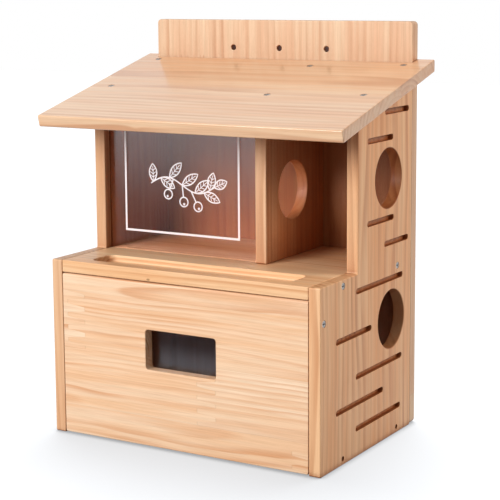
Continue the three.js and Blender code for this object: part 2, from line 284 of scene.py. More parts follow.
def random_at(*keys):
    """A random value and colour, the same each time for the same keys."""
    return put("TexWhiteNoise", {"Vector": put("CombineXYZ", dict(enumerate(keys)))[0]})


def parts(vector):
    return put("SeparateXYZ", {0: vector})


def label(word):
    return word.replace("_", " ").title()


def shared(contents):
    """Makes a node group of what a function builds. The function then places it in a tree.

    Its arguments are the group's inputs: numbers to start with, or Vector or Color where one is
    always given.
    """
    group = bpy.data.node_groups.new(contents.__name__.replace("_", " ").capitalize(), "ShaderNodeTree")
    for word, argument in signature(contents).parameters.items():
        kind = argument.default if isinstance(argument.default, str) else "Float"
        socket = group.interface.new_socket(label(word), in_out="INPUT", socket_type="NodeSocket" + kind)
        if kind == "Float":
            socket.default_value = argument.default
    *given, _ = group.nodes.new("NodeGroupInput").outputs  # The last is an empty one, kept for more.
    results = contents(*given)
    for name, result in results.items():
        kind = "Color" if result.type == "RGBA" else "Float"
        group.interface.new_socket(name, in_out="OUTPUT", socket_type="NodeSocket" + kind)
    wire(group.nodes.new("NodeGroupOutput"), results)

    def place(tree=None, **inputs):
        return put("Group", {label(word): value for word, value in inputs.items()}, tree, node_tree=group)
    return place


@shared
def glued_blocks(
    place="Vector", seed=0.0, stave_width=60.0, stave_shift=0.0, block_length=400.0, joint_shift=0.0,
    stagger=1.0, finger_length=9.0, finger_pitch=5.0,
):
    """Staves glued side by side, each a run of blocks whose ends are joined by fingers."""
    along, across, _ = parts(place)
    share = over(minus(across, stave_shift), stave_width)
    stave = floor(share)
    from_middle = minus(rest(share), 0.5)
    half_pitch = times(finger_pitch, 0.5)
    finger = between(over(figure("PINGPONG", across, half_pitch), half_pitch), 0.25, 0.75)
    run = minus(times_plus(finger, finger_length, along), joint_shift)
    other_stave = figure("GREATER_THAN", size_of(stave), 0.5)
    shift = times(times(random_at(stave, seed)["Value"], other_stave), stagger)
    run_share = plus(over(run, block_length), shift)
    side_gap = minus(0.5, size_of(from_middle))
    end_gap = minus(0.5, size_of(minus(rest(run_share), 0.5)))
    return {
        "Across": times(from_middle, stave_width),
        "Chance": random_at(stave, floor(run_share), seed)["Color"],
        "Seam": larger(
            between(times(side_gap, stave_width), 0.05, 0.35, 1.0, 0.0),
            between(times(end_gap, block_length), 0.2, 1.1, 1.0, 0.0),
        ),
    }


@shared
def knot(place="Vector", centre="Vector", size=0.0):
    """A small knot: a dark core, and a swelling that pushes the rings apart round it."""
    offset = scaled(vectors("SUBTRACT", place, centre), 0.55, 1, 1)
    reach = over(vectors("LENGTH", offset), larger(size, 0.01))
    core = times(between(reach, 0.5, 1.1, 1.0, 0.0), figure("GREATER_THAN", size, 0.1))
    fade = figure("EXPONENT", times(reach, -0.5))
    return {"Core": core, "Swell": times(fade, times(size, 1.2))}


@shared
def growth_rings(
    place="Vector", across=0.0, chance="Color", ring_spacing=5.0, waviness=4.0, pith_aside=20.0,
    pith_below=40.0, swell=0.0,
):
    """Growth rings round a pith that lies beside or below the board, warped as the tree grew.

    Pale early wood darkens slowly to a thin line of late wood, then starts again.
    """
    through = parts(place)[2]
    red, green, blue = put("SeparateColor", {0: chance})
    side = figure("SIGN", minus(green, 0.5))
    aside = times(times_plus(red, 0.6, 0.7), times(side, pith_aside))
    below = times(times_plus(green, 0.8, 0.6), pith_below)
    distance = vectors("LENGTH", put("CombineXYZ", {0: minus(across, aside), 1: plus(through, below)})[0])
    own = scaled(chance, 90, 90, 90)
    slow = vectors("ADD", scaled(place, 0.0034, 0.016, 0.016), own)
    drift = minus(noise(slow, 1.0, 0.4), 0.5)
    ripple = minus(noise(scaled(slow, 4.2, 3.1, 3.1), 1.0), 0.5)
    waved = times_plus(drift, times(waviness, 2.4), distance)
    waved = times_plus(ripple, times(waviness, 0.3), waved)
    rings = over(plus(waved, swell), ring_spacing)
    growth = rest(rings)
    late_wood = times(between(growth, 0.15, 0.85), between(growth, 0.84, 1.0, 1.0, 0.0))
    year = random_at(floor(rings), blue)["Value"]
    late_wood = times(late_wood, between(year, 0.0, 1.0, 0.3, 1.0))
    fading = noise(vectors("ADD", scaled(place, 0.006, 0.03, 0.03), own), 1.0)
    wide = noise(vectors("ADD", scaled(place, 0.0045, 0.075, 0.075), own), 2.0, 0.6)
    return {
        "Late Wood": times(late_wood, between(fading, 0.35, 0.65, 0.4, 1.0)),
        "Patches": between(wide, 0.36, 0.66),
    }


@shared
def fibres(place="Vector"):
    """Fine fibres and short resin ducts, all along the grain."""
    duct = noise(scaled(place, 0.045, 0.8, 0.8), 0.0)
    return {"Fibre": noise(scaled(place, 0.018, 0.9, 0.9), 3.0, 0.6), "Duct": between(duct, 0.7, 0.8)}


@shared
def pine_grain(
    place="Vector", chance="Color", seam=0.0, late_wood=0.0, patches=0.0, knot=0.0, end_grain=0.0,
    contrast=0.6, light="Color", dark="Color", warm="Color",
):
    """The colour, roughness and relief of sanded pine, from its place in the board in millimetres.

    X runs along the grain, Y across the staves and Z through the board.
    """
    fibre, duct = fibres(place=place)
    blue = put("SeparateColor", {0: chance})[2]
    warmth = times_plus(patches, 0.5, times(blue, 0.5), clamp=True)
    colour = blend(warmth, light, warm)
    ends = times_plus(end_grain, 0.1, contrast)
    colour = blend(times(late_wood, ends, clamp=True), colour, dark)
    shade = between(fibre, 0.25, 0.75, 0.92, 1.06)
    for mask, share in ((duct, 0.05), (seam, 0.09), (end_grain, 0.14), (knot, 0.5)):
        shade = minus(shade, times(mask, share))
    greens, blues = figure("POWER", shade, 1.1), figure("POWER", shade, 1.3)
    tint = put("CombineColor", {0: shade, 1: greens, 2: blues})[0]
    rough = times_plus(fibre, 0.16, 0.4)
    relief = times_plus(fibre, 0.5, times(late_wood, 0.6))
    return {
        "Color": blend(1.0, colour, tint, "MULTIPLY"),
        "Roughness": times_plus(late_wood, -0.08, rough),
        "Height": minus(relief, larger(duct, seam)),
    }


@shared
def worn_edge(reach=0.002):
    """Painted highlight on the eased edges: a mask where the rounded normal turns from the face."""
    turned = put("Bevel", {"Radius": reach}, samples=6)[0]
    straight = put("NewGeometry", tree=reach.id_data)["Normal"]
    return {"Mask": between(vectors("DOT_PRODUCT", turned, straight), 0.995, 0.8)}


@shared
def hollow(
    bay_reach=0.24, groove_reach=0.012, fully_closed=0.03, bay_openness=0.34, groove_openness=0.66,
    eaves_share=0.0, strength=1.0,
):
    """Painted shade in the insides of hollows: holes, grooves and bays, where occlusion is found.

    Front edges under the eaves, which are less closed in, get a share of that painted shade.
    Reaches and heights are in metres.
    """
    in_bay = put("AmbientOcclusion", {"Distance": bay_reach}, samples=6)["AO"]
    in_groove = put("AmbientOcclusion", {"Distance": groove_reach}, samples=6)["AO"]
    texture = put("TexCoord", tree=in_bay.id_data)
    height = parts(texture["Object"])[2]
    frontward = parts(texture["Normal"])[1]
    bay = between(in_bay, fully_closed, bay_openness, 1.0, 0.0)
    bay = times(bay, between(height, 0.02, 0.15))
    half_open = minus(groove_openness, 0.4)
    groove = between(in_groove, half_open, groove_openness, 1.0, 0.0)
    # Painted shade on front edges under the roof.
    eaves = between(in_bay, 0.55, 0.95, eaves_share, 0.0)
    eaves = times(eaves, between(height, 0.15, 0.22))
    eaves = times(eaves, between(frontward, -0.95, -0.5, 1.0, 0.0))
    return {"Mask": times(larger(larger(bay, groove), eaves), strength)}


@shared
def sawn_hole(place="Vector", middle="Vector", radius=36.5, darkness=0.8):
    """Painted shade on the wall of a large hole, from its middle and its radius."""
    distance = vectors("DISTANCE", scaled(place, 1, 1, 0), middle)
    return {"Mask": between(minus(distance, radius), 0.3, 1.3, darkness, 0.0)}


# Colour factors of the painted highlight on eased edges and of the painted shade in hollows.
edge_tint, unsanded_tint = (1.14, 1.13, 1.1, 1), (0.4, 0.2, 0.1, 1)
relief_strength, relief_depth = 0.35, 0.0003


def pine(name, axes, middle, seed, light, dark, warm, contrast=0.7, tilt=0.0, varnish=0.2, gloss=0.25,
         blocks=None, rings=None, knots=None, hollows=None, entrances=()):
    """A pine finish for a board round a middle place in the box.

    The axes name the board's own directions, first along the grain, then across it and through
    the board, as 0 for width, 1 for depth and 2 for height. A sloping board has a tilt. Blocks,
    rings, knots and hollow shading hold the inputs of those node groups that the board has of its
    own. Its eased edges get a painted highlight. Its hollows, grooves, bays and the front edges
    under the roof get painted shade found by occlusion, and so do the walls of the round holes
    that are given. No coat lies where the shade is painted.
    """
    material, tree, shader = new_material(name)
    texture = put("TexCoord", tree=tree)
    centre = place_of(*middle)
    turned = put("VectorRotate", {
        "Vector": texture["Object"], "Center": centre, "Angle": -tilt,
    }, rotation_type="X_AXIS")[0]
    in_box = parts(scaled(vectors("SUBTRACT", turned, centre), 1 / MM, 1 / MM, 1 / MM))
    normal = parts(texture["Normal"])
    in_board = put("CombineXYZ", {order: in_box[axis] for order, axis in enumerate(axes)})[0]
    block = glued_blocks(place=in_board, seed=seed, **(blocks or {}))
    knotted = knot(place=in_board, **(knots or {}))
    ring = growth_rings(
        place=in_board, across=block["Across"], chance=block["Chance"], swell=knotted["Swell"],
        **(rings or {}),
    )
    wood = pine_grain(
        place=in_board, chance=block["Chance"], seam=block["Seam"],
        late_wood=ring["Late Wood"], patches=ring["Patches"], knot=knotted["Core"],
        end_grain=between(size_of(normal[axes[0]]), 0.75, 0.95),
        contrast=contrast, light=paint(*light), dark=paint(*dark), warm=paint(*warm),
    )
    # The eased edges get a painted highlight, and the hollows and the walls of round holes get painted
    # shade, with no coat on it.
    pale = blend(1.0, wood["Color"], edge_tint, "MULTIPLY")
    sanded = blend(worn_edge(tree)["Mask"], wood["Color"], pale)
    unsanded = blend(1.0, wood["Color"], unsanded_tint, "MULTIPLY")
    rough_sawn = hollow(tree, **(hollows or {}))["Mask"]
    for hole_middle, radius, darkness in entrances:
        wall = sawn_hole(place=in_board, middle=hole_middle, radius=radius, darkness=darkness)
        rough_sawn = larger(rough_sawn, wall["Mask"])
    wire(shader, {
        "Base Color": blend(rough_sawn, sanded, unsanded),
        "Roughness": wood["Roughness"],
        "Normal": put("Bump", {0: relief_strength, 1: relief_depth, "Height": wood["Height"]})[0],
        "Coat Weight": times(minus(1.0, rough_sawn), varnish),
        "Coat Roughness": gloss,
        "Specular IOR Level": 0.25,
    })
    return material


def finish(piece, material, body, *nodes, slot=None):
    """Gives a piece its material, its body and the CAD nodes that it stands for. The slot is not used."""
    piece.data.materials.clear()
    piece.data.materials.append(material)
    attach(piece, body)
    if nodes:
        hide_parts(*nodes)


WIDTH, DEPTH, HEIGHT = 0, 1, 2
bottom_board = board(
    "bottom_board_pine",
    rectangle(-inner_half_width, board_thickness + panel_back_gap, inner_half_width, side_depth),
    facing_up, 0.0,
)
bottom_pine = pine(
    "bottom_pine", (WIDTH, DEPTH, HEIGHT), (0.0, side_depth / 2, board_thickness / 2), seed=3.0,
    light=(247, 208, 166), dark=(206, 140, 92), warm=(238, 182, 130),
    blocks=dict(stave_width=62.0, block_length=310.0),
)
finish(bottom_board, bottom_pine, "box", "bottom_board", slot="pine_side")


# Side panels
# Two upright boards, full depth below and set back above the ledge, with tops cut to the roof's
# slope. The right one has two round entrances and nine stopped grooves for climbing.

ledge_height, upper_setback = 219.0, 93.0
roof_slope = radians(14.9)
roof_front_height, roof_front_depth = 395.0, 7.0
side_middle = half_width - board_thickness / 2
seat_gap, overrun = 0.3, 5.0
entry_diameter = 73.0
upper_entry_shares, lower_entry_shares = (0.553, 0.563), (0.767, 0.676)
# How dark the painted shade on the walls of the two entrances is.
upper_entry_darkness, lower_entry_darkness = 0.9, 0.6
groove_height, groove_depth, groove_mouth_ease = 7.0, 6.0, 0.4
lower_groove_shares = [
    (0.37, 0.88, 0.155), (0.16, 0.675, 0.297), (0.37, 0.895, 0.442),
    (0.16, 0.54, 0.678), (0.37, 0.9, 0.907),
]
upper_groove_shares = [
    (0.48, 0.938, 0.131), (0.165, 0.655, 0.298), (0.165, 0.635, 0.83), (0.48, 0.935, 1.0),
]


def facing_right(point, place):
    """Stands a drawing upright from front to back, with its left face at a width."""
    return place + point.z, point.x, point.y


def round_outline(across, along, diameter, segments=96):
    radius = diameter / 2
    turns = [2 * pi * index / segments for index in range(segments)]
    return [Vector((across + radius * cos(turn), along + radius * sin(turn))) for turn in turns]


def cut(piece, cutters, operation="DIFFERENCE"):
    """Takes the cutters out of a piece, or keeps what lies inside them, and clears them away."""
    for cutter in cutters:
        step = piece.modifiers.new("cut", "BOOLEAN")
        step.operation, step.object, step.solver = operation, cutter, "EXACT"
    graph = bpy.context.evaluated_depsgraph_get()
    data = bpy.data.meshes.new_from_object(piece.evaluated_get(graph))
    piece.modifiers.clear()
    piece.data = data
    for cutter in cutters:
        bpy.data.objects.remove(cutter)


def top_of_roof(depth):
    return roof_front_height + (depth - roof_front_depth) * tan(roof_slope)


def underside_of_roof(depth):
    return top_of_roof(depth) - board_thickness / cos(roof_slope)


upper_depth = side_depth - upper_setback
bay_height = underside_of_roof(upper_setback) - ledge_height
upper_corners = [
    (side_depth, underside_of_roof(side_depth) - seat_gap),
    (upper_setback, underside_of_roof(upper_setback) - seat_gap),
    (upper_setback, ledge_height),
]


def upper_place(depth_share, height_share):
    return upper_setback + upper_depth * depth_share, ledge_height + bay_height * height_share


def lower_place(depth_share, height_share):
    return side_depth * depth_share, ledge_height * height_share


def sawn_wall(depth, height, darkness):
    """A round entrance's middle in its board, its radius and how dark the painted shade on its wall is."""
    return (height - ledge_height, depth - side_depth / 2, 0), entry_diameter / 2, darkness


def whole_staves(width):
    """Staves that run from end to end, with no joints within the board."""
    return dict(stave_width=width, block_length=900.0, stagger=0.0, joint_shift=450.0)


def groove_cutter(start, end, height):
    """A slot with round ends, a little flared at its mouth."""
    radius = groove_height / 2
    turns = [-pi / 2 + pi * step / 10 for step in range(11)]
    back_end, front_end = (
        [Vector((middle + way * radius * cos(turn), height + way * radius * sin(turn))) for turn in turns]
        for middle, way in ((end - radius, 1), (start + radius, -1))
    )
    rings = [
        (0.0, 0.0),
        (0.0, groove_depth - groove_mouth_ease),
        (-groove_mouth_ease, groove_depth),
        (-groove_mouth_ease, groove_depth + overrun),
    ]
    return slab("groove_cutter", back_end + front_end, rings, facing_right, half_width - groove_depth)


groove_cutters = []
for shares, to_place in ((lower_groove_shares, lower_place), (upper_groove_shares, upper_place)):
    for start_share, end_share, height_share in shares:
        start, height = to_place(start_share, height_share)
        end, height = to_place(end_share, height_share)
        groove_cutters.append(groove_cutter(start, end, height))

side_corners = [(0.0, 0.0), (side_depth, 0.0), *upper_corners, (0.0, ledge_height)]
side_outline = rounded(side_corners, corner_rounding)
left_side = board("left_side_pine", side_outline, facing_right, -half_width)
left_pine = pine(
    "left_pine", (HEIGHT, DEPTH, WIDTH), (-side_middle, side_depth / 2, ledge_height), seed=1.0,
    light=(238, 198, 158), dark=(196, 134, 92), warm=(226, 172, 128), contrast=0.8,
    blocks=whole_staves(78.0),
    rings=dict(ring_spacing=6.5, waviness=5.0, pith_aside=70.0, pith_below=60.0),
    hollows=dict(bay_openness=0.6, eaves_share=0.4),
)
finish(left_side, left_pine, "box", "left_side_panel", slot="pine_side")

upper_entry, lower_entry = upper_place(*upper_entry_shares), lower_place(*lower_entry_shares)
entries = [round_outline(*place, entry_diameter) for place in (upper_entry, lower_entry)]
right_side = board("right_side_pine", side_outline, facing_right, inner_half_width, entries)
cut(right_side, groove_cutters)
right_pine = pine(
    "right_pine", (HEIGHT, DEPTH, WIDTH), (side_middle, side_depth / 2, ledge_height), seed=7.0,
    light=(248, 204, 159), dark=(192, 124, 78), warm=(237, 174, 122), contrast=0.85, varnish=0.12,
    blocks=whole_staves(74.0),
    rings=dict(ring_spacing=8.5, waviness=7.0, pith_aside=60.0, pith_below=55.0),
    hollows=dict(bay_openness=0.6, groove_openness=0.85, eaves_share=0.52),
    entrances=[
        sawn_wall(*upper_entry, upper_entry_darkness), sawn_wall(*lower_entry, lower_entry_darkness),
    ],
)
finish(right_side, right_pine, "box", "right_side_panel", slot="pine_side")


# Feeding shelf
# The lid of the nest chamber and the floor of the two bays, screwed between the sides.
# A shallow tray for nuts, with rounded corners, is routed along its front.

tray_front_rim, tray_reach, tray_end_margin = 16.0, 42.0, 32.5
tray_depth, tray_corner_radius, tray_floor_radius, tray_rim_ease = 8.0, 10.0, 2.0, 1.0
shelf_underside = ledge_height - board_thickness
shelf_knot = (-44.0, -side_depth / 2, -5.0)
knot_size = 1.6

shelf = board(
    "shelf_pine", rectangle(-inner_half_width, 0.0, inner_half_width, side_depth),
    facing_up, shelf_underside,
)
half_tray = inner_half_width - tray_end_margin
tray_outline = rectangle(
    -half_tray, tray_front_rim, half_tray, tray_front_rim + tray_reach, tray_corner_radius, 8,
)
tray_rings = quarter_round(tray_floor_radius, 4) + [
    (0.0, tray_depth - tray_rim_ease),
    (-tray_rim_ease, tray_depth),
    (-tray_rim_ease, tray_depth + overrun),
]
cut(shelf, [slab("tray_cutter", tray_outline, tray_rings, facing_up, ledge_height - tray_depth)])
shelf_pine = pine(
    "shelf_finish", (WIDTH, DEPTH, HEIGHT), (0.0, side_depth / 2, ledge_height - board_thickness / 2),
    seed=5.0, light=(249, 211, 168), dark=(210, 142, 90), warm=(240, 184, 132),
    blocks=dict(stave_width=58.0, stave_shift=18.0, block_length=900.0, stagger=0.0, joint_shift=300.0),
    rings=dict(ring_spacing=6.0), knots=dict(centre=shelf_knot, size=knot_size), hollows=dict(strength=0.5),
)
finish(shelf, shelf_pine, "box", "feeding_shelf", slot="pine_shelf")


# Partition
# An upright board between the glazed bay and the open bay, with a round way through.
# It stands on the shelf, and the roof and the backboard are screwed to it.

open_bay_width = 108.0
partition_right = inner_half_width - open_bay_width
partition_left = partition_right - board_thickness
partition_middle = (partition_left + partition_right) / 2
# How dark the painted shade on the passage's wall is.
passage_shares, passage_darkness = (0.459, 0.453), 0.8
passage_place = upper_place(*passage_shares)

partition_corners = [upper_corners[2], (side_depth, ledge_height), *upper_corners[:2]]
partition_outline = rounded(partition_corners, corner_rounding)
partition = board(
    "partition_pine", partition_outline, facing_right, partition_left,
    [round_outline(*passage_place, entry_diameter)],
)
partition_pine = pine(
    "partition_finish", (HEIGHT, DEPTH, WIDTH), (partition_middle, side_depth / 2, ledge_height), seed=9.0,
    light=(250, 212, 172), dark=(206, 140, 94), warm=(242, 186, 138),
    blocks=whole_staves(80.0),
    rings=dict(ring_spacing=7.0, waviness=4.0, pith_aside=60.0, pith_below=35.0),
    hollows=dict(bay_openness=0.7, eaves_share=0.4),
    entrances=[sawn_wall(*passage_place, passage_darkness)],
)
finish(partition, partition_pine, "box", "partition", slot="pine_side")


# Backboard
# One full-width board of upright staves that closes the back and rises above the roof.
# Three plain drilled holes above the roof take the screws or the cord that it hangs by.

backboard_rise, backboard_corner_radius = 46.0, 5.0
hanging_hole_diameter, hanging_hole_spacing, hanging_rise_share = 7.0, 68.5, 0.22
roof_back_top = top_of_roof(overall_depth)
hanging_height = roof_back_top + backboard_rise * hanging_rise_share
back_stave_edge, back_joint_height = -179.0, 460.0


def facing_front(point, place):
    """Stands a drawing upright across the box, with its back face at a depth."""
    return point.x, place - point.z, point.y


backboard = board(
    "backboard_pine",
    rectangle(-half_width, 0.0, half_width, roof_back_top + backboard_rise, backboard_corner_radius, 6),
    facing_front, overall_depth,
    [
        round_outline(across, hanging_height, hanging_hole_diameter, 40)
        for across in (-hanging_hole_spacing, 0.0, hanging_hole_spacing)
    ],
)
back_pine = pine(
    "back_pine", (HEIGHT, WIDTH, DEPTH), (0.0, overall_depth - board_thickness / 2, 0.0), seed=5.0,
    light=(231, 202, 169), dark=(196, 142, 104), warm=(222, 176, 140),
    blocks=dict(
        stave_width=67.0, stave_shift=back_stave_edge, block_length=520.0, joint_shift=back_joint_height,
    ),
    rings=dict(ring_spacing=8.0, waviness=4.0, pith_aside=45.0, pith_below=35.0),
    hollows=dict(fully_closed=0.42, bay_openness=0.62),
)
finish(backboard, back_pine, "box", "backboard", slot="pine_back")


# Bay pane
# A clear acrylic pane with square polished edges, slid down in grooves in the left side, the
# shelf and the partition before the roof goes on. White lines and a sprig are printed on it.

pane_thickness, pane_inset, pane_tongue, pane_play = 3.0, 11.0, 5.0, 0.3
pane_edge_ease = 0.25
pane_front = upper_setback + pane_inset
pane_back = pane_front + pane_thickness
pane_left, pane_right = -inner_half_width - pane_tongue, partition_left + pane_tongue
pane_low, pane_high = ledge_height - pane_tongue, underside_of_roof(pane_front) - pane_play
bay_tint, bay_roughness = (240, 231, 232), 0.02
bay_haze_heights, bay_haze_weights = (250.0, 400.0), (0.08, 0.9)
ink_gap, print_height, print_step = 0.01, 0.08, 0.002
border_width = 2.7
border_left, border_right, border_low = -147.6, 20.0, 244.2
border_high = pane_high - 0.5
motif_middle, motif_half_length, motif_sway = Vector((-62.0, 306.0)), 47.0, 9.0
leaf_length, leaf_half_width, berry_radius, stalk_length = 25.0, 5.6, 6.0, 15.0
outline_width, vein_width, star_reach = 1.7, 1.0, 1.7
midrib_share, vein_shares, vein_rise, vein_reach = 0.86, (0.24, 0.42, 0.6), 0.17, 0.78

groove_outline = square(pane_left - pane_play, pane_low - pane_play, pane_right + pane_play, roof_back_top)
groove_rings = [(0.0, 0.0), (0.0, pane_thickness + 2 * pane_play)]
for piece in (left_side, shelf, partition):
    groove = slab("pane_groove_cutter", groove_outline, groove_rings, facing_front, pane_back + pane_play)
    cut(piece, [groove])

bay_pane = board(
    "bay_pane_acrylic", square(pane_left, pane_low, pane_right, pane_high), facing_front, pane_back,
    thickness=pane_thickness, ease=pane_edge_ease, steps=2,
)


def acrylic(name, tint, roughness, haze_heights, haze_weights):
    """Clear sheet that lets light through to what is behind it, with faint wiping marks.

    The haze is a glossy film that eases from one weight to another between two heights.
    """
    material, tree, shader = new_material(name)
    place = put("TexCoord", tree=tree)["Object"]
    low, high = (height * MM for height in haze_heights)
    smear = noise(scaled(place, 60, 60, 14), 3.0, 0.6)
    wire(shader, {
        "Base Color": paint(*tint),
        "Transmission Weight": 1.0,
        "IOR": 1.2,
        "Roughness": between(smear, 0.35, 0.75, roughness, roughness * 2.4),
        "Coat Weight": between(parts(place)[2], low, high, *haze_weights),
        "Coat IOR": 1.75,
        "Coat Roughness": 0.06,
    })
    lit_through = put("BsdfTransparent", {0: paint(246, 243, 246)}, tree)[0]
    shadow_ray = put("LightPath", tree=tree)["Is Shadow Ray"]
    surface = put("MixShader", {0: shadow_ray, 1: shader.outputs[0], 2: lit_through})[0]
    wire(tree.nodes["Material Output"], {"Surface": surface})
    return material


bay_acrylic = acrylic("bay_acrylic", bay_tint, bay_roughness, bay_haze_heights, bay_haze_weights)
finish(bay_pane, bay_acrylic, "box", "bay_pane", slot="clear_acrylic")


def ribbon(mesh, points, width, closed, height):
    """A printed stroke: a thin strip of even width along the points, on the pane's front face."""
    count = len(points)
    rows = []
    for index, point in enumerate(points):
        before = points[index - 1] if closed or index else point
        after = points[(index + 1) % count] if closed or index < count - 1 else point
        ahead = (after - before).normalized()
        side = Vector((-ahead.y, ahead.x)) * (width / 2)
        corners = ((point + side, 0.0), (point - side, 0.0), (point - side, height), (point + side, height))
        places = [(flat.x, pane_front - ink_gap - lift, flat.y) for flat, lift in corners]
        rows.append([mesh.verts.new(place) for place in places])
    links = count if closed else count - 1
    for index in range(links):
        row, other = rows[index], rows[(index + 1) % count]
        for corner in range(4):
            beyond = (corner + 1) % 4
            mesh.faces.new((row[corner], row[beyond], other[beyond], other[corner]))
    if not closed:
        mesh.faces.new(rows[0])
        mesh.faces.new(reversed(rows[-1]))


def printed(name, strokes):
    """Strokes in white ink, each a little higher than the one before, so that no faces coincide."""
    mesh = bmesh.new()
    for order, (points, width, closed) in enumerate(strokes):
        ribbon(mesh, [Vector(point) for point in points], width, closed, print_height + print_step * order)
    bmesh.ops.recalc_face_normals(mesh, faces=mesh.faces)
    finish(new_piece(name, mesh), white_ink, "box")


white_ink, ink_tree, ink_shader = new_material("white_ink")
ink_cover = noise(scaled(put("TexCoord", tree=ink_tree)["Object"], 900, 900, 900))
# The ink is printed white, and a faint glow keeps it white where the roof shades the pane: painted light.
wire(ink_shader, {
    "Base Color": blend(between(ink_cover, 0.35, 0.7), paint(232, 222, 222), paint(246, 236, 236)),
    "Roughness": 0.45,
    "Emission Color": paint(255, 250, 255),
    "Emission Strength": 0.06,
})


def stem_point(share):
    """A point on the motif's stem, which sways once along its length."""
    return motif_middle + Vector((motif_half_length * (2 * share - 1), motif_sway * sin(2 * pi * share)))


def along(start, angle, ahead, aside=0.0):
    """The point reached from a start by going ahead at an angle, and aside to the left."""
    across, up = ahead * cos(angle) - aside * sin(angle), ahead * sin(angle) + aside * cos(angle)
    return start + Vector((across, up))


def leaf_strokes(base, angle, length, steps=12):
    """A leaf's outline, its midrib and three pairs of veins."""
    def edge(share, side):
        return along(base, angle, share * length, side * leaf_half_width * sin(pi * share) ** 0.85)
    upper = [edge(step / steps, 1) for step in range(steps + 1)]
    lower = [edge(step / steps, -1) for step in range(steps - 1, 0, -1)]
    midrib = [base, along(base, angle, midrib_share * length)]
    strokes = [(upper + lower, outline_width, True), (midrib, vein_width, False)]
    for share in vein_shares:
        for side in (1, -1):
            start = along(base, angle, share * length)
            vein = [start, start.lerp(edge(share + vein_rise, side), vein_reach)]
            strokes.append((vein, vein_width, False))
    return strokes


def berry_strokes(base, angle):
    """A round berry on a stalk, with a small star where its flower was."""
    middle = along(base, angle, stalk_length + berry_radius)
    circle = [along(middle, 2 * pi * step / 20, berry_radius) for step in range(20)]
    star_middle = along(middle, angle, berry_radius * 0.45)
    stalk = [base, along(base, angle, stalk_length)]
    strokes = [(stalk, outline_width, False), (circle, outline_width, True)]
    for step in range(3):
        turn = angle + pi * step / 3
        ray = [along(star_middle, turn, -star_reach), along(star_middle, turn, star_reach)]
        strokes.append((ray, vein_width, False))
    return strokes


leaves = (
    (0.04, 62, 0.9), (0.16, -48, 0.95), (0.3, 58, 1.05), (0.5, 64, 1.1), (0.7, 50, 1.05), (0.84, -42, 1.0),
    (0.93, 48, 0.9),
)
berries = ((0.36, -112), (0.5, -84), (0.64, -62))
motif_strokes = [([stem_point(step / 24) for step in range(25)], outline_width, False)]
for share, turn, size in leaves:
    ahead = stem_point(share + 0.02) - stem_point(share - 0.02)
    angle = atan2(ahead.y, ahead.x) + radians(turn)
    motif_strokes += leaf_strokes(stem_point(share), angle, leaf_length * size)
for share, turn in berries:
    motif_strokes += berry_strokes(stem_point(share), radians(turn))
motif_strokes += leaf_strokes(stem_point(1.0), radians(25), leaf_length * 0.8)
printed("pane_motif_print", motif_strokes)

half_border = border_width / 2
low_line = [(border_left + half_border, border_low), (border_right - half_border, border_low)]
printed("pane_border_print", [
    ([(border_left, border_low - half_border), (border_left, border_high)], border_width, False),
    ([(border_right, border_low - half_border), (border_right, border_high)], border_width, False),
    (low_line, border_width, False),
])


# Roof board
# One sloping board with its grain across the width. It overhangs both sides and the front, is
# notched round the backboard, and is screwed down into both sides and the partition.

roof_side_overhang, roof_notch_gap = 23.0, 0.5
roof_half_width = half_width + roof_side_overhang
roof_stave_edge = 28.0
roof_knot = (-65.0, -(overall_depth - roof_front_depth) / 2 / cos(roof_slope), -1.0)

roof_outline = rounded([
    (
        roof_front_depth + board_thickness * sin(roof_slope),
        roof_front_height - board_thickness * cos(roof_slope),
    ),
    (overall_depth, underside_of_roof(overall_depth)),
    (overall_depth, roof_back_top),
    (roof_front_depth, roof_front_height),
], corner_rounding)
roof = board("roof_pine", roof_outline, facing_right, -roof_half_width, thickness=2 * roof_half_width)
notch_half_width = half_width + roof_notch_gap
notch_outline = square(
    -notch_half_width, side_depth - roof_notch_gap, notch_half_width, overall_depth + overrun,
)
notch_low = underside_of_roof(side_depth) - overrun
notch_rings = [(0.0, 0.0), (0.0, roof_back_top + overrun - notch_low)]
cut(roof, [slab("notch_cutter", notch_outline, notch_rings, facing_up, notch_low)])
roof_middle_depth = (roof_front_depth + overall_depth) / 2
roof_middle_height = (top_of_roof(roof_middle_depth) + underside_of_roof(roof_middle_depth)) / 2
roof_pine = pine(
    "roof_finish", (WIDTH, DEPTH, HEIGHT), (0.0, roof_middle_depth, roof_middle_height), seed=157.0,
    light=(239, 202, 164), dark=(197, 133, 88), warm=(230, 173, 127),
    tilt=roof_slope, varnish=0.88, gloss=0.17,
    blocks=dict(
        stave_width=160.0, stave_shift=roof_stave_edge, block_length=1200.0, stagger=0.0, joint_shift=300.0,
    ),
    rings=dict(ring_spacing=7.5, waviness=5.0, pith_aside=75.0, pith_below=50.0),
    knots=dict(centre=roof_knot, size=knot_size),
)
finish(roof, roof_pine, "box", "roof_board", slot="pine_roof")


# Front panel
# The front of the nest chamber: an edge-glued board with its grain across the width and a
# routed window. It hangs on two pivot screws near its top, which is rounded to pass the shelf.

panel_side_gap, panel_ground_gap, panel_top_radius = 0.5, 1.5, 3.5
half_panel = inner_half_width - panel_side_gap
pivot_below_shelf, pivot_depth, swing_clearance = 27.3, board_thickness * 0.6, 0.5
pivot_height = shelf_underside - pivot_below_shelf
arc_radius = pivot_below_shelf - swing_clearance - panel_top_radius
panel_top = pivot_height + sqrt(arc_radius ** 2 - (pivot_depth - panel_top_radius) ** 2) + panel_top_radius
window_width, window_height, window_sill, window_corner_radius = 99.0, 49.0, 96.2, 4.0
front_joint_across, front_stave_edge = -139.0, 110.0

